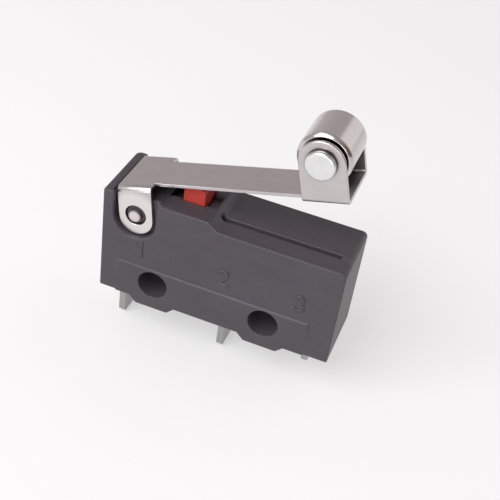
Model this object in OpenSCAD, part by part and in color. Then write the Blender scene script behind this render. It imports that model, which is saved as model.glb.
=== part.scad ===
// Sub-miniature snap-action switch with a hinged roller lever.
// The origin is midway between the two mounting holes, at mid depth of the case.
// +X runs along the case towards the roller, +Y towards its back, +Z towards the lever.

/* [Case] */
// Length of the case
case_len = 19.8; // [19.6:0.1:20.6]
// Depth of the case over its raised mounting pads
case_depth = 6.4; // [6.3:0.1:6.8]
// Height of the hinge end above the mounting holes
block_top = 7.75; // [7.7:0.05:7.8]
// Height of the front ledge above the mounting holes
ledge_top = 7.12; // [7.06:0.02:7.2]
// Height of the deck behind the ledge
deck_top = 7.05; // [6.95:0.05:7.1]
// Depth of the case's underside below the mounting holes
under_drop = 1.85; // [1.7:0.05:2]
// Height of the two feet below the underside
foot_h = 0.6; // [0.3:0.1:0.8]
// How far the mounting pads stand out of the faces
pad_t = 0.12; // [0.05:0.01:0.15]

/* [Mounting holes] */
// Distance between the hole centres
hole_pitch = 9.5; // [9.4:0.1:9.6]
// Diameter of the holes
hole_d = 2.5; // [2:0.1:2.6]
// Distance from the hinge end of the case to the first hole
hole_inset = 4.7; // [4.6:0.1:4.8]

/* [Lever] */
// Tilt of the arm above level when it is free
arm_tilt = 15.4; // [13:0.1:15.4]
// Thickness of the sheet
sheet_t = 0.3; // [0.25:0.05:0.3]
// Width of the arm
arm_w = 3.5; // [3:0.1:4]
// Width over the two hinge ears
hinge_w = 5.3; // [5.25:0.05:5.4]
// Width over the two roller ears
fork_w = 4.9; // [4.9:0.05:5.1]
// Distance from the hinge pin to the roller axle, along the arm
axle_reach = 15.55; // [14:0.05:16]
// Height of the roller axle above the arm
axle_rise = 3; // [2.9:0.05:3.2]

/* [Roller] */
// Diameter of the roller
roller_d = 4.14; // [4:0.02:4.7]
// Width of the roller
roller_w = 4; // [3.4:0.1:4]
// Diameter of the axle
axle_d = 1.6; // [1.4:0.1:1.8]
// Diameter of the axle's front head
head_d = 2.3; // [2:0.1:2.6]

/* [Terminals] */
// Thickness of a terminal blade
blade_t = 0.5; // [0.4:0.05:0.6]
// Width of a terminal blade
blade_w = 3.2; // [3:0.1:3.2]
// How far the first two blades reach below the underside
blade_drop = 3.8; // [2:0.05:6]
// How far the third, clipped blade reaches below the underside
clipped_drop = 2.3; // [1:0.05:6]

/* [Hidden] */
$fn = 96;

case_color = [0.36, 0.34, 0.37];
plunger_color = [0.80, 0.26, 0.24];
steel_color = [0.78, 0.76, 0.75];
tin_color = [0.70, 0.66, 0.63];
brass_color = [0.80, 0.65, 0.35];
silver_color = [0.88, 0.88, 0.87];

eps = 0.01;

// Case: ends, faces and levels
left = -hole_pitch / 2 - hole_inset;
right = left + case_len;
pad_y = case_depth / 2;
face_y = pad_y - pad_t;
bottom = -under_drop;
foot = bottom - foot_h;
hole_x = [-hole_pitch / 2, hole_pitch / 2];
corner_r = 0.45;
step_high_x = -0.65;
step_low_x = -0.05;

// Seam between the cover in front and the base behind
split_y = -1.45;
groove_w = 0.65;
groove_d = 0.35;
groove_left = step_low_x - 0.3;
groove_right = right - 1;

// Raised mounting pads on both faces, and the feet below the holes
pad_left = left + 1.4;
pad_right = right - 1.9;
pad_top = 1.46;
foot_half = 1.4;
foot_flare = 0.6;
foot_root = 0.3;

// Hinge: pin centre, the ears' pockets and the moulded pins
pin_x = -6.85;
pin_z = 5.87;
pin_r = 0.8;
pin_tip_r = 0.55;
pin_tip_root = 0.6;
pocket_x = -6.74;
pocket_z = 5.8;
pocket_r = 1.81;
web_y = 2.25;
pin_tip_y = 2.86;
pin_step_y = 2.5;
pin_root = 0.2;

// Notch below the arm's tail, and the nib in front of the hinge
notch_left = -8.75;
notch_z = 7.52;
notch_y = 2.72;
notch_right = pin_x + 2.2;
nib_h = 0.5;
nib_t = 0.36;
nib_foot = 0.5;
nib_neck = 0.4;
nib_lap = 0.1;
nib_root = 0.2;

// Space inside the case
wall = 0.78;
cave_y = face_y - wall;
floor_z = 1.75;
tunnel_top = pocket_z - pocket_r - 0.55;
cave_left = -8.7;
cave_mid = pocket_x + pocket_r + 0.6;

// Plunger and the case round it
plunger_x = -2.7;
plunger_w = 1.8;
plunger_y = 1.225;
plunger_gap = 0.05;
dome_r = 1.2;
flange_w = 2.4;
flange_y = 1.45;
flange_low = 6.5;
flange_top = block_top - wall - 0.06;
peg_mid = -2.6;
peg_w = 0.5;
peg_y = 0.6;
peg_low = 5.25;
relief_w = 0.9;
relief_d = 0.42;
relief_front = -1.05;
relief_len = 1.75;

// Pegs that locate the cover on the base
peg_x = [-1.6, 7];
peg_r = 0.6;
peg_len = 1.4;

// Lever, in its own frame: origin on the hinge pin, u along the arm, n square to it
arm_top = 2.5;
arm_low = arm_top - sheet_t;
bend_out = 0.45;
bend_in = bend_out - sheet_t;
ear_half = 1.43;
ear_lean = 8.3;
ear_drop = 0.3;
ear_hole_r = pin_r + 0.07;
tail_u = -1.1;
ear_end_u = 1.75;
fork_half = 1.76;
axle_n = arm_top + axle_rise;

// Roller and axle
roller_shift = 0.1;
roller_chamfer = 0.22;
bore_gap = 0.05;
head_t = 0.5;
rivet_t = 0.3;
rivet_edge = 0.12;
set_lip = 0.2;
set_taper = 0.1;

// Height at which the plunger's dome just clears the arm
dome_gap = 0.03;
dome_z = pin_z + (arm_low - dome_r - dome_gap + (plunger_x - pin_x) * sin(arm_tilt)) / cos(arm_tilt);

// Terminals
com_x = -8.05;
no_x = 0.95;
nc_x = 8.25;
blade_y = split_y;
tip_cut = 0.35;
slot_gap = 0.02;
shelf_t = 0.5;
shelf_y = 1.2;
bend_r = 0.55;
shelf_lap = 0.4;
riser_lap = 0.2;
bend_lap = 0.05;
com_shelf_low = 2.3;

// Switch mechanism
post_x = -3.65;
post_top = 5.05;
notch_gap = 0.05;
notch_reach = 0.02;
spring_t = 0.2;
blade_z = 4.7;
blade_left = -3.38;
blade_right = 7.85;
window_left = -3.05;
window_right = 1.45;
window_y = 0.75;
blade_rim = 0.1;
blade_taper = 0.6;
contact_x = 7;
contact_r = 0.8;
shank_r = 0.4;
set_t = 0.15;
head_lap = 0.05;
moving_low = 4.35;
moving_top = 5.15;
nc_face = 5.17;
nc_shelf_low = 5.45;
no_face = 3.85;
no_shelf_top = 3.6;
bow_t = 0.12;
bow_half_y = 0.5;
bow_left = [-2.96, 4.22];
bow_right = [1.4, 4.92];
bow_rise = 1.35;
tab_right = -2.93;
tab_low = 4;
tab_top = 4.2;
tab_y = 0.6;

// A profile drawn in X and Z, made solid from y0 to y1
module slab(y0, y1) {
  translate([0, y1, 0]) rotate([90, 0, 0]) linear_extrude(y1 - y0) children();
}

// A round bar along Y
module bar(x, z, r, y0, y1) {
  translate([x, y1, z]) rotate([90, 0, 0]) cylinder(r = r, h = y1 - y0);
}

// A bar along Y that narrows from r0 at y0 to r1 at y1
module cone(x, z, r0, r1, y0, y1) {
  translate([x, y0, z]) rotate([-90, 0, 0]) cylinder(r1 = r0, r2 = r1, h = y1 - y0);
}

// The front and back halves of a thing that is alike on both sides
module both_sides() {
  children();
  mirror([0, 1, 0]) children();
}

// Case outline: high hinge end, slanted step, lower end with a round corner
module case_face(low_top) {
  difference() {
    polygon([
      [left, bottom],
      [right, bottom],
      [right, low_top],
      [step_low_x, low_top],
      [step_high_x, block_top],
      [left, block_top]
    ]);
    translate([right - corner_r, low_top - corner_r]) difference() {
      square(corner_r + 1);
      circle(corner_r);
    }
  }
}

module feet_face() {
  for (x = hole_x) polygon([
    [x - foot_half - foot_flare, bottom],
    [x - foot_half, foot],
    [x + foot_half, foot],
    [x + foot_half + foot_flare, bottom],
    [x + foot_half + foot_flare, bottom + foot_root],
    [x - foot_half - foot_flare, bottom + foot_root]
  ]);
}

module pad_face() {
  polygon([[pad_left, bottom], [pad_right, bottom], [pad_right, pad_top], [pad_left, pad_top]]);
}

// Pocket that a hinge ear swings in: round below, open above
module ear_pocket_face() {
  translate([pocket_x, pocket_z]) circle(pocket_r);
  translate([pocket_x - pocket_r, pocket_z]) square([2 * pocket_r, block_top + 1 - pocket_z]);
}

// Space inside: low tunnel under the hinge, full height beyond it
module cave_face() {
  polygon([
    [cave_left, floor_z],
    [right - wall, floor_z],
    [right - wall, deck_top - wall],
    [step_low_x - 0.5, deck_top - wall],
    [step_high_x - 0.4, block_top - wall],
    [cave_mid, block_top - wall],
    [cave_mid, tunnel_top],
    [cave_left, tunnel_top]
  ]);
}

// Moulded hinge pin with a thinner tapered tip, on the front side
module hinge_pin() {
  bar(pin_x, pin_z, pin_r, -pin_step_y, -web_y + pin_root);
  cone(pin_x, pin_z, pin_tip_r, pin_tip_root, -pin_tip_y, -pin_step_y);
}

module mounting_holes() {
  for (x = hole_x) bar(x, 0, hole_d / 2, -case_depth, case_depth);
}

module tail_notch() {
  translate([notch_left, -notch_y, notch_z]) cube([notch_right - notch_left, 2 * notch_y, 2]);
}

module cover() {
  color(case_color) {
    difference() {
      union() {
        slab(-face_y, split_y) case_face(ledge_top);
        slab(-pad_y, split_y) feet_face();
        slab(-pad_y, -face_y + eps) pad_face();
        nib();
      }
      mounting_holes();
      slab(-pad_y - 1, -web_y) ear_pocket_face();
      slab(-cave_y, split_y + 1) cave_face();
      tail_notch();
    }
    hinge_pin();
    for (x = peg_x) bar(x, 0, peg_r, split_y - 0.2, split_y + peg_len);
  }
}

// Small ramp that stands up beside the front pocket
module nib() {
  nib_x = pocket_x + pocket_r;
  slab(-face_y, -face_y + nib_t) polygon([
    [nib_x - nib_lap, block_top - nib_root],
    [nib_x + nib_foot, block_top - nib_root],
    [nib_x + nib_neck, block_top],
    [nib_x, block_top + nib_h],
    [nib_x - nib_lap, block_top + nib_h]
  ]);
}

module base() {
  color(case_color) {
    difference() {
      union() {
        slab(split_y, face_y) case_face(deck_top);
        slab(split_y, pad_y) feet_face();
        slab(face_y - eps, pad_y) pad_face();
      }
      mounting_holes();
      slab(web_y, pad_y + 1) ear_pocket_face();
      slab(split_y - 1, cave_y) cave_face();
      tail_notch();
      seam_groove();
      plunger_guide();
      terminal_slots();
      for (x = peg_x) bar(x, 0, peg_r + slot_gap, split_y - 1, split_y + peg_len + 0.1);
    }
    mirror([0, 1, 0]) hinge_pin();
  }
}

module seam_groove() {
  translate([groove_left, split_y - 1, deck_top - groove_d])
    cube([groove_right - groove_left, groove_w + 1, 2]);
}

// Square guide for the plunger, with a shallow relief on each side of it
module plunger_guide() {
  guide_w = plunger_w + 2 * plunger_gap;
  guide_y = plunger_y + plunger_gap;
  translate([plunger_x - guide_w / 2, -guide_y, block_top - wall - 0.5]) cube([guide_w, 2 * guide_y, 2]);
  translate([plunger_x - plunger_w / 2 - relief_w, relief_front, block_top - relief_d])
    cube([plunger_w + 2 * relief_w, relief_len, 1]);
}

module terminal_slots() {
  for (x = [com_x, no_x, nc_x]) translate([x - blade_t / 2 - slot_gap, split_y - 1, bottom - 1])
    cube([blade_t + 2 * slot_gap, blade_w + 1 + slot_gap, floor_z - bottom + 1.5]);
}

// Plunger: domed stem, flange that keeps it in the case, and a peg that bears on the spring
module plunger() {
  color(plunger_color) {
    intersection() {
      translate([plunger_x - plunger_w / 2, -plunger_y, flange_low]) cube([plunger_w, 2 * plunger_y, 4]);
      union() {
        bar(plunger_x, dome_z, dome_r, -2, 2);
        translate([plunger_x - 1, -2, flange_low]) cube([2, 4, dome_z - flange_low]);
      }
    }
    translate([plunger_x - flange_w / 2, -flange_y, flange_low])
      cube([flange_w, 2 * flange_y, flange_top - flange_low]);
    translate([peg_mid - peg_w / 2, -peg_y, peg_low]) cube([peg_w, 2 * peg_y, flange_low - peg_low + eps]);
  }
}

// Puts a thing drawn in the lever's own frame at the free position
module on_lever() {
  translate([pin_x, 0, pin_z]) rotate([0, -arm_tilt, 0]) children();
}

// Outline of a hinge ear: round at its end, leaning back from the arm
module hinge_ear_face() {
  intersection() {
    rotate(-ear_lean) {
      translate([0, -ear_drop]) circle(ear_half);
      translate([-ear_half, -ear_drop]) square([2 * ear_half, 5]);
    }
    translate([-3, -3]) square([6, 3 + arm_top - bend_out]);
  }
}

// Outline of a roller ear: square at the arm, round over the axle
module fork_ear_face() {
  translate([axle_reach, axle_n]) circle(fork_half);
  translate([axle_reach - fork_half, arm_low + bend_out])
    square([2 * fork_half, axle_n - arm_low - bend_out]);
}

// Quarter tube along the arm that joins a flat to an ear: it turns down, or up if mirrored
module bend(u0, u1, y, n) {
  translate([u0, y, n]) rotate([90, 0, 90]) linear_extrude(u1 - u0) intersection() {
    difference() {
      circle(bend_out);
      circle(bend_in);
    }
    square(2);
  }
}

// Lever: one folded sheet with two hinge ears below it and two roller ears above it
module lever() {
  hinge_flat = hinge_w / 2 - bend_out;
  fork_flat = fork_w / 2 - bend_out;
  fork_u = axle_reach - fork_half;
  color(steel_color) on_lever() difference() {
    union() {
      translate([tail_u, -arm_w / 2, arm_low]) cube([fork_u - tail_u + 0.5, arm_w, sheet_t]);
      translate([tail_u, -hinge_flat, arm_low]) cube([ear_end_u - tail_u, 2 * hinge_flat, sheet_t]);
      translate([fork_u, -fork_flat, arm_low]) cube([2 * fork_half, 2 * fork_flat, sheet_t]);
      both_sides() {
        bend(tail_u, ear_end_u, hinge_flat, arm_top - bend_out);
        slab(hinge_w / 2 - sheet_t, hinge_w / 2) hinge_ear_face();
        mirror([0, 0, 1]) bend(fork_u, fork_u + 2 * fork_half, fork_flat, -arm_low - bend_out);
        slab(fork_w / 2 - sheet_t, fork_w / 2) fork_ear_face();
      }
    }
    bar(0, 0, ear_hole_r, -hinge_w, hinge_w);
    bar(axle_reach, axle_n, axle_d / 2 + eps, -fork_w, fork_w);
  }
}

// Axle: a rivet with a domed head in front and a set end behind
module roller_axle() {
  edge = rivet_edge;
  front = -fork_w / 2 - head_t;
  back = fork_w / 2 + rivet_t;
  color(silver_color) on_lever() {
    bar(axle_reach, axle_n, axle_d / 2, front + edge, back - edge);
    bar(axle_reach, axle_n, head_d / 2, front + edge, -fork_w / 2);
    cone(axle_reach, axle_n, head_d / 2 - edge, head_d / 2, front, front + edge);
    bar(axle_reach, axle_n, axle_d / 2 + set_lip, fork_w / 2, back - edge);
    cone(axle_reach, axle_n, axle_d / 2 + set_lip, axle_d / 2 - set_taper, back - edge, back);
  }
}

// Roller: a turned ring with chamfered edges
module roller() {
  r = roller_d / 2;
  bore = axle_d / 2 + bore_gap;
  c = roller_chamfer;
  color(steel_color) on_lever()
    translate([axle_reach, roller_shift - roller_w / 2, axle_n])
    rotate([-90, 0, 0]) rotate_extrude() polygon([
      [bore, 0],
      [r - c, 0],
      [r, c],
      [r, roller_w - c],
      [r - c, roller_w],
      [bore, roller_w]
    ]);
}

// Blade of a terminal below the case, from its cut tip up to a level inside
module terminal_blade(x, drop, top) {
  tip = bottom - drop;
  translate([x - blade_t / 2, 0, 0]) rotate([90, 0, 90]) linear_extrude(blade_t) polygon([
    [blade_y + tip_cut, tip],
    [blade_y + blade_w - tip_cut, tip],
    [blade_y + blade_w, tip + tip_cut],
    [blade_y + blade_w, top],
    [blade_y, top],
    [blade_y, tip + tip_cut]
  ]);
}

// Narrower riser from the blade up to a shelf
module terminal_riser(x, shelf_low) {
  translate([x - blade_t / 2, -shelf_y, floor_z - riser_lap])
    cube([blade_t, 2 * shelf_y, shelf_low + bend_lap - floor_z + riser_lap]);
}

// Shelf folded off a terminal: from x0 to x1, with its round bend at x0
module shelf(x0, x1, low) {
  flip = x1 > x0 ? 0 : 1;
  slab(-shelf_y, shelf_y) translate([x0, low]) mirror([flip, 0]) difference() {
    square([abs(x1 - x0), shelf_t]);
    translate([0, shelf_t - bend_r]) difference() {
      square([bend_r, bend_r + 1]);
      translate([bend_r, 0]) circle(bend_r);
      translate([bend_r, -1]) square([1, 3]);
    }
  }
}

// Common terminal: blade, shelf under the hinge, notched post for the moving blade, and the spring's tab
module com_terminal() {
  low = com_shelf_low;
  post_end = post_x + shelf_t;
  color(tin_color) {
    terminal_blade(com_x, blade_drop, low + shelf_t - bend_r);
    translate([com_x - blade_t / 2, -shelf_y, low - shelf_lap]) cube([blade_t, 2 * shelf_y, shelf_lap]);
    shelf(com_x - blade_t / 2, post_end, low);
    translate([post_end - eps, -tab_y, tab_low])
      cube([tab_right - post_end + eps, 2 * tab_y, tab_top - tab_low]);
    difference() {
      translate([post_x, -shelf_y, low]) cube([shelf_t, 2 * shelf_y, post_top - low]);
      translate([blade_left - notch_reach, -shelf_y - 1, blade_z - notch_gap])
        cube([1, 2 * shelf_y + 2, spring_t + 2 * notch_gap]);
    }
  }
}

// Normally open terminal: its shelf carries the lower contact
module no_terminal() {
  low = no_shelf_top - shelf_t;
  color(tin_color) difference() {
    union() {
      terminal_blade(no_x, blade_drop, floor_z);
      terminal_riser(no_x, low);
      shelf(no_x - blade_t / 2, blade_right - 0.1, low);
    }
    translate([contact_x, 0, low - 1]) cylinder(r = shank_r + eps, h = 3);
  }
}

// Normally closed terminal: it rises past the contacts and folds back over them
module nc_terminal() {
  color(tin_color) difference() {
    union() {
      terminal_blade(nc_x, clipped_drop, floor_z);
      terminal_riser(nc_x, nc_shelf_low);
      shelf(nc_x + blade_t / 2, contact_x - 1, nc_shelf_low);
    }
    translate([contact_x, 0, nc_shelf_low - 1]) cylinder(r = shank_r + eps, h = 3);
  }
}

// Contact rivets: a head on the working side, a shank, and a smaller set end
module no_contact() {
  set_end = no_shelf_top - shelf_t - set_t;
  color(silver_color) translate([contact_x, 0, 0]) {
    translate([0, 0, no_shelf_top]) cylinder(r = contact_r, h = no_face - no_shelf_top);
    translate([0, 0, set_end]) cylinder(r = shank_r, h = no_face - set_end - head_lap);
    translate([0, 0, set_end]) cylinder(r = shank_r + set_lip, h = set_t);
  }
}

module nc_contact() {
  set_end = nc_shelf_low + shelf_t;
  color(silver_color) translate([contact_x, 0, 0]) {
    translate([0, 0, nc_face]) cylinder(r = contact_r, h = nc_shelf_low - nc_face);
    translate([0, 0, nc_face + head_lap]) cylinder(r = shank_r, h = set_end - nc_face + head_lap);
    translate([0, 0, set_end]) cylinder(r = shank_r + set_lip, h = set_t);
  }
}

module moving_contact() {
  color(silver_color) translate([contact_x, 0, 0]) {
    translate([0, 0, moving_low]) cylinder(r = contact_r, h = blade_z - moving_low);
    translate([0, 0, moving_low + head_lap])
      cylinder(r = shank_r, h = moving_top - moving_low - 2 * head_lap);
    translate([0, 0, blade_z + spring_t]) cylinder(r = contact_r, h = moving_top - blade_z - spring_t);
  }
}

// Moving blade: a flat strip with a window round the plunger's peg, tapered to the contact
module moving_blade() {
  color(brass_color) translate([0, 0, blade_z]) linear_extrude(spring_t) difference() {
    polygon([
      [blade_left, -shelf_y],
      [window_right + blade_taper, -shelf_y],
      [contact_x - blade_taper, -contact_r - blade_rim],
      [blade_right, -contact_r - blade_rim],
      [blade_right, contact_r + blade_rim],
      [contact_x - blade_taper, contact_r + blade_rim],
      [window_right + blade_taper, shelf_y],
      [blade_left, shelf_y]
    ]);
    translate([window_left, -window_y]) square([window_right - window_left, 2 * window_y]);
    translate([contact_x, 0]) circle(shank_r + eps);
  }
}

// Snap spring: a leaf bowed up from the post's tab to the far edge of the blade's window
module snap_spring() {
  span = bow_right - bow_left;
  chord = norm(span);
  mid = (bow_left + bow_right) / 2;
  bow_r = chord * chord / (8 * bow_rise) + bow_rise / 2;
  color(brass_color) slab(-bow_half_y, bow_half_y) translate(mid) rotate(atan2(span.y, span.x))
    intersection() {
      translate([0, bow_rise - bow_r]) difference() {
        circle(bow_r);
        circle(bow_r - bow_t);
      }
      translate([-chord / 2, -0.02]) square([chord, bow_rise + 1]);
    }
}

base();
cover();
plunger();
lever();
roller_axle();
roller();
com_terminal();
no_terminal();
nc_terminal();
snap_spring();
moving_blade();
moving_contact();
no_contact();
nc_contact();
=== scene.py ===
import math

import bmesh
import bpy
from mathutils import Matrix, Vector


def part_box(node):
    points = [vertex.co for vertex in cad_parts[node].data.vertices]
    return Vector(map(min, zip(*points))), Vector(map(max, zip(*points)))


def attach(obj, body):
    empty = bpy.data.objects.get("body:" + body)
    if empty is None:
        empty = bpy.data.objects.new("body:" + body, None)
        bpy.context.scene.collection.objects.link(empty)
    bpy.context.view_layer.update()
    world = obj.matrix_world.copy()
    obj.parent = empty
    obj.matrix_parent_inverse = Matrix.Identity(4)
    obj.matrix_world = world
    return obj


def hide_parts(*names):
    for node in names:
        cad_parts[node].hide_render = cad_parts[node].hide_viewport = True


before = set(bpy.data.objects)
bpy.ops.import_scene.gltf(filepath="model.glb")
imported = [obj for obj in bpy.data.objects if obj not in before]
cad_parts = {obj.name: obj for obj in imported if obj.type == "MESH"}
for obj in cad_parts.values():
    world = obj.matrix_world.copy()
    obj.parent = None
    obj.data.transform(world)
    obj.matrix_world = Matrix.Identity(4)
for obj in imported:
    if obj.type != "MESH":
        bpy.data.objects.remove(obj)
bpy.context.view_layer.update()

MM = 0.001

# The camera, fitted to the photograph.
CAMERA_AZ = math.radians(14.87)
CAMERA_EL = math.radians(37.945)
CAMERA_ROLL = math.radians(9.20)
CAMERA_AT = Vector((17.89, -59.98, 52.47)) * MM
CAMERA_LENS = 71.84
CAMERA_SENSOR = 36
CAMERA_CLIP = (0.001, 10)

# Places on the CAD parts in millimetres, as part.scad has them.
PARTING_Y = -1.45
PAD_LEFT, PAD_RIGHT, PAD_TOP, PAD_PROUD = -8.05, 8.45, 1.46, 0.12
HOLE_X, HOLE_R = 4.75, 1.25
AXLE_X, AXLE_Z = 6.6811, 15.3019
EAR_R = 1.76
HINGE = (-6.85, 0.0, 5.87)
PIN_END = 2.86
GROOVE = (4.5, -1.12, 6.86)

# Tests of where an edge lies, in millimetres: how near a point has to be to a place to count as on it, how
# far out the hole rims and the rear edge are at least, and how tall an upright edge is at least.
HIT, LEVEL_HIT, EAR_HIT, TAIL_HIT = 0.02, 0.01, 0.05, 0.2
RIM_Y, REAR_Y, UPRIGHT_HIGH = 3.0, 2.9, 1.0

# Edge rounds and other small forms that the CAD parts leave out, in millimetres.
CASE_ROUND, CORNER_ROUND, RIM_ROUND = 0.13, 0.45, 0.06
SHEET_ROUND, EAR_ROUND, AXLE_ROUND, PLUNGER_ROUND = 0.05, 0.12, 0.09, 0.08
PAD_SLOPE = 0.12

# How the meshes are worked over: points nearer than WELD are joined, faces within FLAT are merged, outer edges
# over SHARP are rounded, and edges over CREASE, or over SLOPE_CREASE on the pad's slope, are shaded as sharp.
WELD = 0.0005 * MM
FLAT = math.radians(0.4)
SHARP = math.radians(38)
CREASE = math.radians(50)
SLOPE_CREASE = math.radians(40)

# Noise scales, in features per metre.
CLOUDING, FLOW, SCUFFS, FINE_GRAIN = 240, 700, 1500, 9000
METAL_CLOUDING, METAL_GRAIN, FLOOR_CLOUDING = 380, 2600, 30

# Rays per point in the bevel and occlusion nodes, and the cosines between which an edge counts as worn.
PROBES = 8
WORN_COSINE, FLAT_COSINE = 0.86, 0.995

# The studio: the floor's own glow to the camera, and where white paper and a dark corner stand, in degrees.
FLOOR_Z = -5.65 * MM
FLOOR_SIDE = 3.0
FLOOR_LIFT = 0.46
WORLD_STRENGTH = 1.0
PAPER_EDGE = 165.0
CORNER_AZ = 50
AIM = Vector((0.5, 0.0, 5.0)) * MM
LAMP_DISTANCE = 0.30


# ---------------------------------------------------------------- node helpers
class Tree:
    """Small helper that builds a material's node tree."""

    def __init__(self, name):
        self.mat = bpy.data.materials.new(name)
        self.mat.use_nodes = True
        self.nodes = self.mat.node_tree.nodes
        self.links = self.mat.node_tree.links
        self.shader = self.nodes["Principled BSDF"]
        self.coords = self.nodes.new("ShaderNodeTexCoord").outputs["Object"]

    def put(self, socket, value):
        """Links a socket to a node's output, or sets a plain value."""
        if isinstance(value, bpy.types.NodeSocket):
            self.links.new(value, socket)
        else:
            socket.default_value = value

    def scaled(self, scale):
        """The piece's own coordinates, stretched along each axis."""
        node = self.nodes.new("ShaderNodeMapping")
        node.inputs["Scale"].default_value = scale
        self.links.new(self.coords, node.inputs["Vector"])
        return node.outputs["Vector"]

    def noise(self, scale, detail=3.0, rough=0.55, stretch=(1, 1, 1)):
        node = self.nodes.new("ShaderNodeTexNoise")
        node.inputs["Scale"].default_value = scale
        node.inputs["Detail"].default_value = detail
        node.inputs["Roughness"].default_value = rough
        self.links.new(self.scaled(stretch), node.inputs["Vector"])
        return node.outputs["Fac"]

    def span(self, value, low, high, from_low, from_high):
        """value taken from one range to another, kept inside it."""
        node = self.nodes.new("ShaderNodeMapRange")
        node.inputs["From Min"].default_value = from_low
        node.inputs["From Max"].default_value = from_high
        node.inputs["To Min"].default_value = low
        node.inputs["To Max"].default_value = high
        self.links.new(value, node.inputs["Value"])
        return node.outputs["Result"]

    def mix(self, factor, a, b):
        """Colour a where factor is 0, b where it is 1."""
        node = self.nodes.new("ShaderNodeMix")
        node.data_type = "RGBA"
        self.put(node.inputs["Factor"], factor)
        self.put(node.inputs["A"], (*a, 1) if isinstance(a, tuple) else a)
        self.put(node.inputs["B"], (*b, 1) if isinstance(b, tuple) else b)
        return node.outputs["Result"]

    def math(self, kind, a, b):
        node = self.nodes.new("ShaderNodeMath")
        node.operation = kind
        self.put(node.inputs[0], a)
        self.put(node.inputs[1], b)
        return node.outputs["Value"]

    def edges(self, radius):
        """1 on sharp outer edges, 0 on flats, from the bevel node's bent normal."""
        bevel = self.nodes.new("ShaderNodeBevel")
        bevel.samples = PROBES
        bevel.inputs["Radius"].default_value = radius
        geometry = self.nodes.new("ShaderNodeNewGeometry")
        dot = self.nodes.new("ShaderNodeVectorMath")
        dot.operation = "DOT_PRODUCT"
        self.links.new(bevel.outputs["Normal"], dot.inputs[0])
        self.links.new(geometry.outputs["True Normal"], dot.inputs[1])
        return self.span(dot.outputs["Value"], 1.0, 0.0, WORN_COSINE, FLAT_COSINE)

    def near(self, point, radius, soft, squash=(1, 1, 1)):
        """1 within radius of a point in millimetres, 0 outside, with squash scaling the distances."""
        away = self.nodes.new("ShaderNodeVectorMath")
        away.operation = "SUBTRACT"
        self.links.new(self.coords, away.inputs[0])
        away.inputs[1].default_value = Vector(point) * MM
        shaped = self.nodes.new("ShaderNodeVectorMath")
        shaped.operation = "MULTIPLY"
        self.links.new(away.outputs["Vector"], shaped.inputs[0])
        shaped.inputs[1].default_value = squash
        size = self.nodes.new("ShaderNodeVectorMath")
        size.operation = "LENGTH"
        self.links.new(shaped.outputs["Vector"], size.inputs[0])
        return self.span(size.outputs["Value"], 1.0, 0.0, (radius - soft) * MM, (radius + soft) * MM)

    def crevice(self, reach, shut, open_):
        """0 deep in gaps, 1 in the open."""
        shade = self.nodes.new("ShaderNodeAmbientOcclusion")
        shade.samples = PROBES
        shade.inputs["Distance"].default_value = reach
        return self.span(shade.outputs["AO"], 0.0, 1.0, shut, open_)

    def bump(self, height, distance, strength):
        node = self.nodes.new("ShaderNodeBump")
        node.inputs["Distance"].default_value = distance
        node.inputs["Strength"].default_value = strength
        self.links.new(height, node.inputs["Height"])
        self.links.new(node.outputs["Normal"], self.shader.inputs["Normal"])


# Colour of the painted shade laid into the crevices and gaps of metal parts.
CREVICE_SHADE = (0.08, 0.06, 0.05)
EDGE_WEAR, METAL_WEAR = 0.07 * MM, 0.05 * MM


def moulded(name, base, dark, light, rough, wear=0.55, zones=()):
    """Moulded plastic: fine satin grain, faint flow shading, polished edges, painted shade in crevices.

    zones lists (point, radius, softness, squash, colour) for places of painted light, given a lighter colour.
    """
    t = Tree(name)
    cloud = t.noise(CLOUDING, 3)
    flow = t.noise(FLOW, 2, 0.5, (0.35, 1, 1))
    fine = t.noise(FINE_GRAIN, 2)
    body = t.mix(t.span(cloud, 0.0, 1.0, 0.3, 0.7), dark, base)
    body = t.mix(t.math("MULTIPLY", t.span(flow, 0.0, 1.0, 0.4, 0.8), 0.25), body, light)
    body = t.mix(t.math("MULTIPLY", t.span(fine, 0.0, 1.0, 0.35, 0.75), 0.35), body, light)
    for point, radius, soft, squash, colour in zones:
        body = t.mix(t.near(point, radius, soft, squash), body, colour)
    worn = t.math("MULTIPLY", t.edges(EDGE_WEAR), t.span(t.noise(SCUFFS, 3), 0.2, wear, 0.3, 0.7))
    body = t.mix(worn, body, light)
    # Painted shade: the plastic's dark tone is laid into crevices and gaps that the occlusion node finds.
    t.put(t.shader.inputs["Base Color"], t.mix(t.crevice(0.5 * MM, 0.0, 0.35), dark, body))
    t.put(t.shader.inputs["Roughness"], t.span(fine, rough - 0.06, rough + 0.08, 0.3, 0.7))
    t.shader.inputs["Specular IOR Level"].default_value = 0.4
    t.bump(t.math("ADD", fine, t.math("MULTIPLY", flow, 0.6)), 0.008 * MM, 0.5)
    return t.mat


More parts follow.
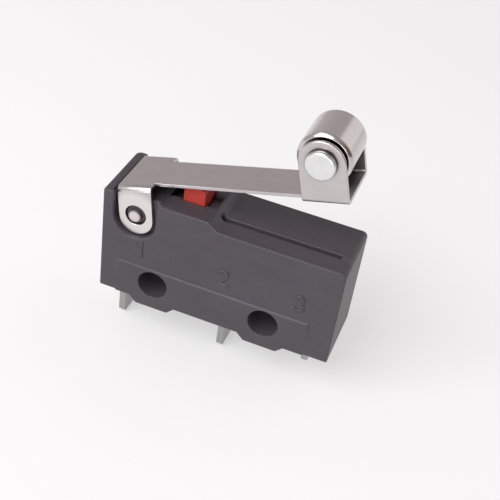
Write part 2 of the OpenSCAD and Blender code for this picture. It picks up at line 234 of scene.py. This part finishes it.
def metal(name, base, dark, light, rough, stretch, grain=METAL_GRAIN, depth=0.002,
          crevice=(0.5, 0.2, 0.75), sheen_spot=None):
    """Worked metal: grain drawn out along one axis, cloudy tone, bright edges, painted shade in crevices.

    crevice is (reach in millimetres, value that counts as shut, value that counts as open) for the painted
    shade, and the last argument is (point, radius, softness, squash, colour) for a painted sheen: a place
    painted brighter and kept free of the painted shade.
    """
    t = Tree(name)
    lines = t.noise(grain, 3, 0.6, stretch)
    cloud = t.noise(METAL_CLOUDING, 4)
    body = t.mix(t.span(cloud, 0.0, 1.0, 0.3, 0.72), dark, base)
    body = t.mix(t.math("MULTIPLY", t.span(lines, 0.0, 1.0, 0.35, 0.7), 0.3), body, light)
    body = t.mix(t.math("MULTIPLY", t.edges(METAL_WEAR), 0.7), body, light)
    reach, shut, open_ = crevice
    unshaded = t.crevice(reach * MM, shut, open_)
    if sheen_spot:
        point, radius, soft, squash, colour = sheen_spot
        bright = t.near(point, radius, soft, squash)
        body = t.mix(bright, body, colour)
        unshaded = t.math("MAXIMUM", unshaded, bright)
    # Painted shade: where the occlusion node finds a crevice, the colour turns to the dark shade colour.
    t.put(t.shader.inputs["Base Color"], t.mix(unshaded, CREVICE_SHADE, body))
    t.shader.inputs["Metallic"].default_value = 1.0
    t.put(t.shader.inputs["Roughness"], t.span(cloud, rough - 0.02, rough + 0.03, 0.3, 0.7))
    t.bump(lines, depth * MM, 0.4)
    return t.mat


# The drawing or rolling direction of each metal is the axis with the smallest stretch.
ALONG_ARM, ACROSS, UPRIGHT = (0.12, 1, 1), (1, 0.2, 1), (1, 1, 0.12)
# A lighter colour painted on both ends of the hinge pin: a painted glint.
PIN_GLINT = (0.62, 0.56, 0.56)
PIN_ZONE = (0.46, 0.08, (1, 0.5, 1), PIN_GLINT)
CASE_LIGHT = (0.100, 0.090, 0.104)
CASE = moulded("case_plastic", (0.064, 0.056, 0.070), (0.056, 0.048, 0.060), CASE_LIGHT, 0.42, zones=[
    ((HINGE[0], -PIN_END, HINGE[2]), *PIN_ZONE),
    ((HINGE[0], PIN_END, HINGE[2]), *PIN_ZONE),
    # Painted light: a lighter colour in the groove lifts the shade that falls in it.
    (GROOVE, 0.30, 0.06, (0, 1, 1), (0.085, 0.073, 0.088)),
])
# The numerals are a little darker than the case: painted shade for the shaded sides of their raised strokes.
NUMERAL = moulded("numeral_plastic", (0.058, 0.050, 0.062), (0.050, 0.043, 0.054), CASE_LIGHT, 0.36)
RED = moulded("plunger_plastic", (0.47, 0.040, 0.032), (0.40, 0.030, 0.024), (0.56, 0.10, 0.075), 0.4,
              wear=0.3)
# The lever's hinge ear is painted brighter as a painted sheen and kept free of the painted shade, which its
# crevice setting lays deep inside the fork.
SHEET = metal("lever_sheet", (0.55, 0.52, 0.52), (0.51, 0.48, 0.485), (0.63, 0.60, 0.60), 0.3, ALONG_ARM,
              grain=4200, depth=0.0006, crevice=(1.2, 0.34, 0.80),
              sheen_spot=(HINGE, 2.05, 0.3, (1, 0, 1), (0.74, 0.71, 0.69)))
# The axle's crevice setting paints a dark ring of shade where its head stands off the ear.
AXLE = metal("axle_steel", (0.76, 0.765, 0.765), (0.70, 0.705, 0.705), (0.84, 0.84, 0.84), 0.3, ACROSS,
             crevice=(0.6, 0.55, 0.95))
ROLLER = metal("roller_steel", (0.60, 0.565, 0.555), (0.55, 0.515, 0.505), (0.70, 0.67, 0.66), 0.16,
               (0.3, 2.0, 0.3))
BLADES = metal("terminal_tin", (0.40, 0.39, 0.395), (0.33, 0.31, 0.31), (0.56, 0.53, 0.52), 0.36, UPRIGHT)
SPRING = metal("spring_strip", (0.72, 0.47, 0.28), (0.55, 0.32, 0.18), (0.88, 0.66, 0.45), 0.3, ALONG_ARM)
CONTACT = metal("contact_silver", (0.80, 0.80, 0.78), (0.62, 0.61, 0.58), (0.93, 0.93, 0.92), 0.25,
                (1, 1, 1))

LOOKS = {
    "base": CASE, "cover": CASE, "plunger": RED, "lever": SHEET, "roller_axle": AXLE, "roller": ROLLER,
    "com_terminal": BLADES, "no_terminal": BLADES, "nc_terminal": BLADES, "snap_spring": SPRING,
    "moving_blade": SPRING, "moving_contact": CONTACT, "no_contact": CONTACT, "nc_contact": CONTACT,
}
for node_name, look in LOOKS.items():
    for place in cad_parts[node_name].material_slots:
        place.material = look


# ---------------------------------------------------------------- pieces
def sharp_convex(edge):
    """True on an outer edge that a tool or a mould leaves slightly rounded."""
    if len(edge.link_faces) != 2 or not edge.is_convex:
        return False
    return edge.calc_face_angle() > SHARP


def on_parting(edge):
    """True on the joint face between base and cover, whose edges stay tight."""
    return all(abs(v.co.y / MM - PARTING_Y) < HIT for v in edge.verts)


def rounded(work, edges, width, segments, **more):
    """Rounds edges to a width in millimetres."""
    bmesh.ops.bevel(work, geom=edges, offset=width * MM, segments=segments, profile=0.5, affect="EDGES",
                    clamp_overlap=False, offset_type="OFFSET", **more)


def dressed(node_name, body, look, width, segments=2, special=(), reshape=None, keep=(on_parting,)):
    """A copy of a node with real rounded outer edges, which stands for it.

    special lists (test of an edge's two ends, radius, segments) for edges with a round of their own,
    reshape moves points of the welded mesh first, and keep lists tests for the edges that stay tight.
    """
    work = bmesh.new()
    work.from_mesh(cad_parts[node_name].data)
    bmesh.ops.remove_doubles(work, verts=work.verts, dist=WELD)
    bmesh.ops.dissolve_limit(work, angle_limit=FLAT, verts=work.verts, edges=work.edges)
    if reshape:
        reshape(work)
    for test, radius, steps in special:
        chosen = [e for e in work.edges if sharp_convex(e) and test(*(v.co / MM for v in e.verts))]
        rounded(work, chosen, radius, steps)
    chosen = [e for e in work.edges if sharp_convex(e) and not any(test(e) for test in keep)]
    rounded(work, chosen, width, segments, loop_slide=True)
    for edge in work.edges:
        edge.smooth = edge.smooth and edge.calc_face_angle(0.0) < CREASE
    mesh = bpy.data.meshes.new(node_name + "_dressed")
    work.to_mesh(mesh)
    work.free()
    mesh.materials.append(look)
    mesh.polygons.foreach_set("use_smooth", [True] * len(mesh.polygons))
    piece = bpy.data.objects.new(node_name + "_dressed", mesh)
    bpy.context.collection.objects.link(piece)
    smooth = piece.modifiers.new("normals", "WEIGHTED_NORMAL")
    smooth.keep_sharp = True
    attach(piece, body)
    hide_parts(node_name)


TAIL_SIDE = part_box("base")[0].x / MM + TAIL_HIT


def rear_left_corner(a, b):
    """The case's upright edge at the back on the lever's tail side."""
    return all(p.x < TAIL_SIDE and p.y > REAR_Y for p in (a, b)) and abs(a.z - b.z) > UPRIGHT_HIGH


PAD_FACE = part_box("cover")[0].y / MM + LEVEL_HIT


def slope_pad(work):
    """Gives the raised pad on the front face the slanting sides of a moulded step."""
    for vert in work.verts:
        x, y, z = vert.co / MM
        if y < PAD_FACE:
            if z > PAD_TOP - HIT:
                vert.co.z -= PAD_SLOPE * MM
            if x < PAD_LEFT + HIT:
                vert.co.x += PAD_SLOPE * MM
            if x > PAD_RIGHT - HIT:
                vert.co.x -= PAD_SLOPE * MM
    work.normal_update()
    for edge in work.edges:
        if SLOPE_CREASE < edge.calc_face_angle(0.0) < CREASE:
            edge.smooth = False


def on_pad(edge):
    """True on the pad's upper and side edges, which the slope already softens."""
    points = [v.co / MM for v in edge.verts]
    high = all(p.z > PAD_TOP - PAD_SLOPE - HIT for p in points)
    left = all(p.x < PAD_LEFT + PAD_SLOPE + HIT for p in points)
    right = all(p.x > PAD_RIGHT - PAD_SLOPE - HIT for p in points)
    return all(p.y < PAD_FACE for p in points) and (high or left or right)


def hole_rim(a, b):
    """The outer rims of the two mounting holes."""
    round_hole = all(abs(math.hypot(abs(p.x) - HOLE_X, p.z) - HOLE_R) < HIT for p in (a, b))
    return round_hole and abs(a.y - b.y) < LEVEL_HIT and abs(a.y) > RIM_Y


def fork_rim(a, b):
    """The round outer edges of the two roller ears, which blanking rolls over."""
    reach = [math.hypot(p.x - AXLE_X, p.z - AXLE_Z) for p in (a, b)]
    return all(abs(r - EAR_R) < EAR_HIT for r in reach) and abs(a.y - b.y) < LEVEL_HIT


dressed("base", "case", CASE, CASE_ROUND, 3,
        special=[(rear_left_corner, CORNER_ROUND, 5), (hole_rim, RIM_ROUND, 3)])
dressed("cover", "case", CASE, CASE_ROUND, 3,
        special=[(hole_rim, RIM_ROUND, 3)], reshape=slope_pad, keep=(on_parting, on_pad))
dressed("plunger", "plunger_body", RED, PLUNGER_ROUND, 3)
dressed("lever", "lever_body", SHEET, SHEET_ROUND, special=[(fork_rim, EAR_ROUND, 3)])
dressed("roller_axle", "lever_body", AXLE, AXLE_ROUND, 3)
dressed("roller", "roller_body", ROLLER, SHEET_ROUND)
for terminal in ("com_terminal", "no_terminal", "nc_terminal"):
    dressed(terminal, "case", BLADES, SHEET_ROUND)

# Numerals stand where the real switch has its terminals' names. Sizes in millimetres.
NUMERAL_HIGH = 1.35
NUMERAL_Z = 3.1
STROKE_HALF = 0.14
STROKE_PROUD = 0.12
STROKE_SUNK = 0.01
STROKE_SIDES = 6
STROKE_TAPER = [(0.7, 0.7), (1.0, 0.05)]
NUMERAL_MIDDLE = (0.3, 0.5)


def arc(cx, cz, rx, rz, start, stop, steps=12):
    """Points on part of an ellipse, in numeral heights, angles in degrees."""
    angles = [math.radians(start + (stop - start) * i / steps) for i in range(steps + 1)]
    return [(cx + rx * math.cos(a), cz + rz * math.sin(a)) for a in angles]


def line(x0, z0, x1, z1, steps=4):
    """Points on a straight stroke, in numeral heights."""
    return [(x0 + (x1 - x0) * i / steps, z0 + (z1 - z0) * i / steps) for i in range(steps + 1)]


STROKES = {
    1: [line(0.08, 0.74, 0.34, 1.0), line(0.34, 1.0, 0.34, 0.0)],
    2: [arc(0.3, 0.73, 0.27, 0.27, 165, -30) + line(0.5, 0.55, 0.06, 0.0), line(0.06, 0.0, 0.6, 0.0)],
    3: [arc(0.28, 0.76, 0.24, 0.24, 155, -90), arc(0.28, 0.27, 0.29, 0.27, 90, -155)],
}


def stroke(work, points, face_y):
    """A half-round raised stroke with tapered ends along points (x, z)."""
    half_turn = [math.radians(180 * k / STROKE_SIDES) for k in range(STROKE_SIDES + 1)]
    rings = []
    last = len(points) - 1
    for i, here in enumerate(points):
        along = (points[min(i + 1, last)] - points[max(i - 1, 0)]).normalized()
        side = Vector((-along.y, along.x))
        spots = [(here, 1.0)]
        if i == 0:
            spots = [(here - along * STROKE_HALF * far, size) for far, size in STROKE_TAPER[::-1]] + spots
        if i == last:
            spots = spots + [(here + along * STROKE_HALF * far, size) for far, size in STROKE_TAPER]
        for spot, size in spots:
            rings.append([
                work.verts.new(((spot.x + side.x * STROKE_HALF * size * math.cos(a)) * MM,
                                face_y - (STROKE_PROUD * size * math.sin(a) - STROKE_SUNK) * MM,
                                (spot.y + side.y * STROKE_HALF * size * math.cos(a)) * MM))
                for a in half_turn
            ])
    for a, b in zip(rings, rings[1:]):
        for k in range(STROKE_SIDES):
            work.faces.new((a[k], a[k + 1], b[k + 1], b[k]))
        work.faces.new((a[-1], a[0], b[0], b[-1]))
    work.faces.new(rings[0])
    work.faces.new(rings[-1][::-1])


def numeral(digit, x):
    """A plain raised numeral on the front face, centred on x."""
    face_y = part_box("cover")[0].y + PAD_PROUD * MM
    centre, middle = Vector((x, NUMERAL_Z)), Vector(NUMERAL_MIDDLE)
    work = bmesh.new()
    for path in STROKES[digit]:
        stroke(work, [centre + (Vector(point) - middle) * NUMERAL_HIGH for point in path], face_y)
    bmesh.ops.recalc_face_normals(work, faces=work.faces)
    mesh = bpy.data.meshes.new("numeral_%d" % digit)
    work.to_mesh(mesh)
    work.free()
    mesh.materials.append(NUMERAL)
    mesh.polygons.foreach_set("use_smooth", [True] * len(mesh.polygons))
    mesh.set_sharp_from_angle(angle=CREASE)
    piece = bpy.data.objects.new("numeral_%d" % digit, mesh)
    bpy.context.collection.objects.link(piece)
    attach(piece, "case")


numeral(1, -6.0)
numeral(2, 1.0)
numeral(3, 7.3)


# ---------------------------------------------------------------- studio
def outward(az, el):
    """The direction at an azimuth from the front towards the right, and an elevation, in radians."""
    return Vector((math.sin(az) * math.cos(el), -math.cos(az) * math.cos(el), math.sin(el)))


def soft_light(name, azimuth, elevation, size, power):
    """A rectangular lamp that looks at the object from a direction in degrees."""
    data = bpy.data.lights.new(name, "AREA")
    data.shape = "RECTANGLE"
    data.size, data.size_y = size
    data.energy = power
    lamp = bpy.data.objects.new(name, data)
    bpy.context.collection.objects.link(lamp)
    lamp.location = AIM + LAMP_DISTANCE * outward(math.radians(azimuth), math.radians(elevation))
    lamp.rotation_euler = (AIM - lamp.location).to_track_quat("-Z", "Y").to_euler()


def pale_floor():
    """White paper: it takes shadows, and looks white to the camera and in reflections."""
    bpy.ops.mesh.primitive_plane_add(size=FLOOR_SIDE, location=(0, 0, FLOOR_Z))
    floor = bpy.context.object
    floor.name = "studio_floor"
    t = Tree("studio_floor")
    cloud = t.noise(FLOOR_CLOUDING, 2)
    t.put(t.shader.inputs["Base Color"], t.mix(cloud, (0.50, 0.50, 0.505), (0.53, 0.53, 0.535)))
    t.shader.inputs["Roughness"].default_value = 0.9
    t.shader.inputs["Emission Color"].default_value = (1, 1, 1, 1)
    path = t.nodes.new("ShaderNodeLightPath")
    seen = t.math("MAXIMUM", path.outputs["Is Camera Ray"], path.outputs["Is Glossy Ray"])
    seen = t.math("MAXIMUM", seen, path.outputs["Is Transmission Ray"])
    t.put(t.shader.inputs["Emission Strength"], t.math("MULTIPLY", seen, FLOOR_LIFT))
    floor.data.materials.append(t.mat)


def world_light():
    """A dim room, white paper standing behind on the right and a dark corner in front on the right."""
    world = bpy.data.worlds.new("studio")
    bpy.context.scene.world = world
    world.use_nodes = True
    nodes, links = world.node_tree.nodes, world.node_tree.links
    toward = nodes.new("ShaderNodeTexCoord").outputs["Generated"]
    split = nodes.new("ShaderNodeSeparateXYZ")
    links.new(toward, split.inputs["Vector"])

    def by_height(low, middle, high):
        """A colour for looking down, level and up."""
        band = nodes.new("ShaderNodeValToRGB")
        stops = band.color_ramp
        stops.elements[0].position, stops.elements[0].color = 0.0, (*low, 1)
        stops.elements[1].position, stops.elements[1].color = 0.8, (*high, 1)
        stops.elements.new(0.5).color = (*middle, 1)
        links.new(split.outputs["Z"], band.inputs["Fac"])
        return band.outputs["Color"]

    def mixed(under, over, azimuth, start, stop):
        """over where the view turns towards an azimuth, under elsewhere."""
        side = nodes.new("ShaderNodeVectorMath")
        side.operation = "DOT_PRODUCT"
        side.inputs[1].default_value = outward(math.radians(azimuth), 0)
        links.new(toward, side.inputs[0])
        step = nodes.new("ShaderNodeMapRange")
        step.inputs["From Min"].default_value = start
        step.inputs["From Max"].default_value = stop
        links.new(side.outputs["Value"], step.inputs["Value"])
        both = nodes.new("ShaderNodeMix")
        both.data_type = "RGBA"
        links.new(step.outputs["Result"], both.inputs["Factor"])
        links.new(under, both.inputs["A"])
        links.new(over, both.inputs["B"])
        return both.outputs["Result"]

    ceiling = (0.42, 0.385, 0.395)
    room = by_height((0.66, 0.61, 0.60), (0.54, 0.49, 0.495), ceiling)
    paper = by_height((1.0, 0.98, 0.97), (0.96, 0.93, 0.93), ceiling)
    corner = by_height((0.20, 0.15, 0.12), (0.24, 0.19, 0.16), ceiling)
    light = mixed(room, paper, PAPER_EDGE - 90, -0.02, 0.06)
    light = mixed(light, corner, CORNER_AZ, 0.50, 0.72)
    links.new(light, nodes["Background"].inputs["Color"])
    nodes["Background"].inputs["Strength"].default_value = WORLD_STRENGTH


def photo_camera():
    """The photograph's viewpoint and lens."""
    roll = CAMERA_ROLL
    back = outward(CAMERA_AZ, CAMERA_EL)
    right = Vector((math.cos(CAMERA_AZ), math.sin(CAMERA_AZ), 0))
    up = right.cross(-back)
    cam_x = math.cos(roll) * right + math.sin(roll) * up
    cam_y = -math.sin(roll) * right + math.cos(roll) * up
    data = bpy.data.cameras.new("photo_camera")
    data.sensor_width = CAMERA_SENSOR
    data.lens = CAMERA_LENS
    data.clip_start, data.clip_end = CAMERA_CLIP
    camera = bpy.data.objects.new("photo_camera", data)
    bpy.context.collection.objects.link(camera)
    turn = Matrix((cam_x, cam_y, back)).transposed()
    camera.matrix_world = Matrix.Translation(CAMERA_AT) @ turn.to_4x4()
    bpy.context.scene.camera = camera


pale_floor()
world_light()
photo_camera()
soft_light("key", -31, 45, (0.25, 0.18), 0.66)
soft_light("front_fill", 8, 6, (0.30, 0.06), 0.24)
bpy.context.scene.view_settings.view_transform = "Standard"
